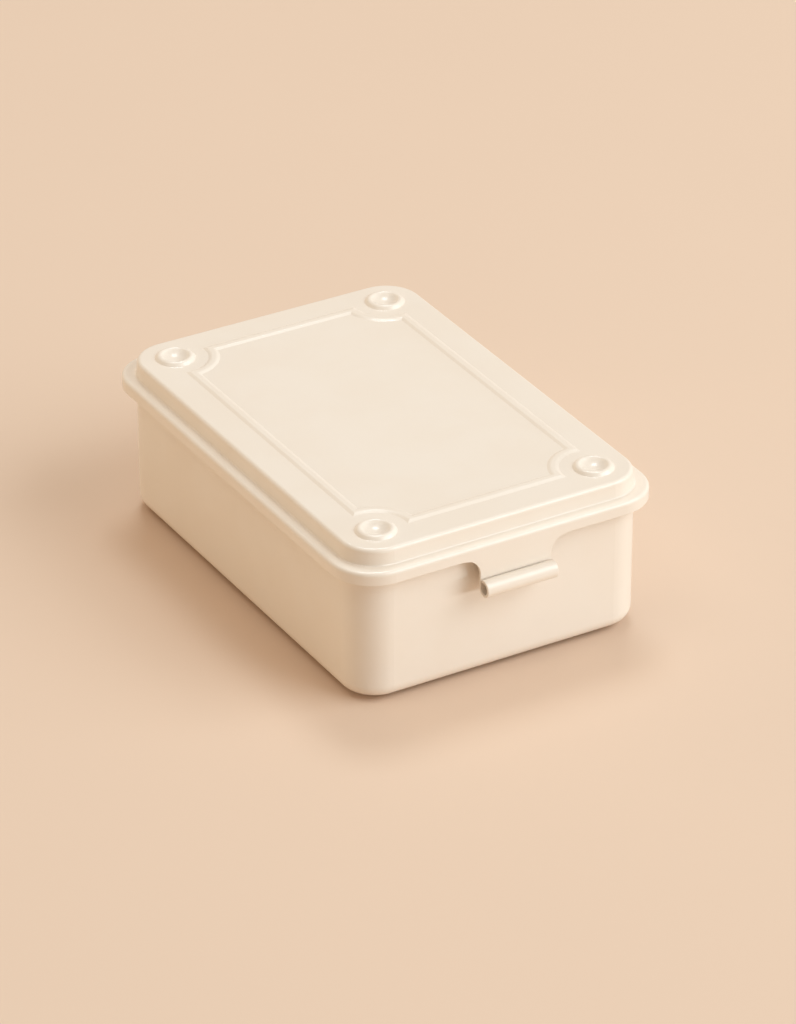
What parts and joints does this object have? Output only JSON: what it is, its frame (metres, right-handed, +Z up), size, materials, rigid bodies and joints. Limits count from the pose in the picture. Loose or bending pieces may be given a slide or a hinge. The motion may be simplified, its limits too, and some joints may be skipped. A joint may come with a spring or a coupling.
{
  "type": "steel storage box",
  "caption": "Small pressed steel storage box with a hinged, beaded lid, dished stacking bosses at the corners and a snap latch with a rolled grip on one short side.",
  "frame": {"origin": "middle of the box, on the plane that the four feet stand on", "axes": "+X along the short side, +Y along the long side from the latch to the hinge, +Z up"},
  "size_m": [0.1066, 0.163, 0.0529],
  "materials": {
    "cream_powder_coat": "satin",
    "bright_steel": "satin"
  },
  "bodies": {
    "box": {"box_body": "cream_powder_coat", "catch_plate": "cream_powder_coat", "catch_rivets": "cream_powder_coat", "hinge_leaf": "cream_powder_coat", "hinge_rivets": "cream_powder_coat", "hinge_pin": "bright_steel"},
    "lid_pressing": {"lid": "cream_powder_coat"},
    "latch": {"latch_tongue": "cream_powder_coat"}
  },
  "joints": [
    {"name": "lid_hinge", "type": "hinge", "parent": "box", "child": "lid_pressing", "pos_m": [0, 0.0788, 0.037], "axis": [-1, 0, 0], "range_deg": [0, 188]},
    {"name": "latch_flex", "type": "hinge", "parent": "lid_pressing", "child": "latch", "pos_m": [0, -0.077, 0.0423], "axis": [-1, 0, 0], "range_deg": [0, 6], "stiffness_Nm_per_rad": 0.05}
  ]
}
